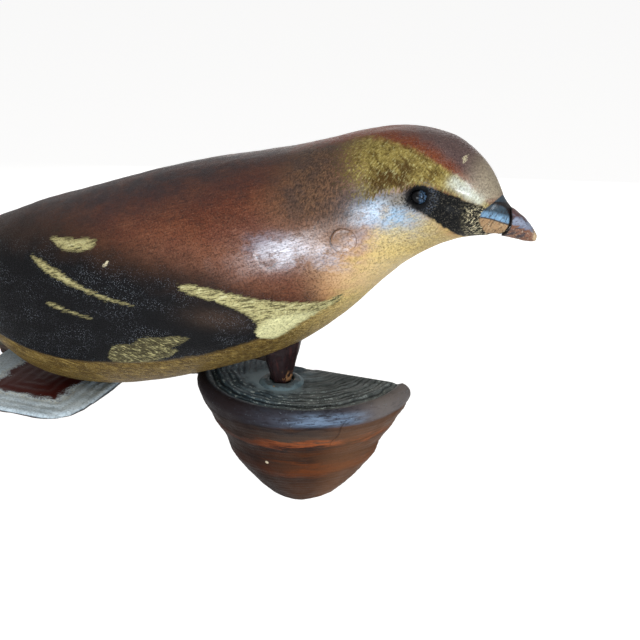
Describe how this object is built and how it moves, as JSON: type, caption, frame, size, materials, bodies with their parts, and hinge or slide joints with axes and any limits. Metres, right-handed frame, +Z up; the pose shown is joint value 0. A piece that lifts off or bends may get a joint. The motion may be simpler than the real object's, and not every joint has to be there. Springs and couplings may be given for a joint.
{
  "type": "carved wooden bird",
  "caption": "Painted carved songbird standing by a peg leg on a shelf fungus, fixed with a thin side fungus to a half-round branch that hangs flat on a wall.",
  "frame": {"origin": "on the flat back of the branch, midway between its two hangers", "axes": "+X the way the bird faces, +Y into the wall, +Z up"},
  "size_m": [0.2164, 0.0666, 0.1289],
  "materials": {
    "bird_paint": "hand-rubbed oil paint with a worn satin varnish",
    "bill_paint": "dark slate paint, satin, worn to wood at the tip",
    "eye_bead": "polished black bead",
    "leg_stain": "dark red stain, chipped at the foot",
    "filler": "painted wood filler, matt",
    "shelf_fungus": "stained wood in grey-green and red-brown bands, satin",
    "side_fungus": "stained wood, grey-blue margin and dark red middle, satin",
    "branch_bark": "dark rough bark with sawn back and ends",
    "dowel_wood": "bare beech",
    "hanger_steel": "zinc-plated strip"
  },
  "bodies": {
    "root": {"bird_body": "bird_paint", "bill_tip": "bill_paint", "eye_right": "eye_bead", "eye_left": "eye_bead", "shoulder_plug": "bird_paint", "leg_peg": "leg_stain", "foot_filler": "filler", "shelf_fungus": "shelf_fungus", "side_fungus": "side_fungus", "wall_branch": "branch_bark", "shelf_dowel_1": "dowel_wood", "shelf_dowel_2": "dowel_wood", "side_dowel_1": "dowel_wood", "side_dowel_2": "dowel_wood", "hanger_right": "hanger_steel", "hanger_left": "hanger_steel", "hanger_nail_right_1": "hanger_steel", "hanger_nail_right_2": "hanger_steel", "hanger_nail_left_1": "hanger_steel", "hanger_nail_left_2": "hanger_steel"}
  },
  "joints": []
}
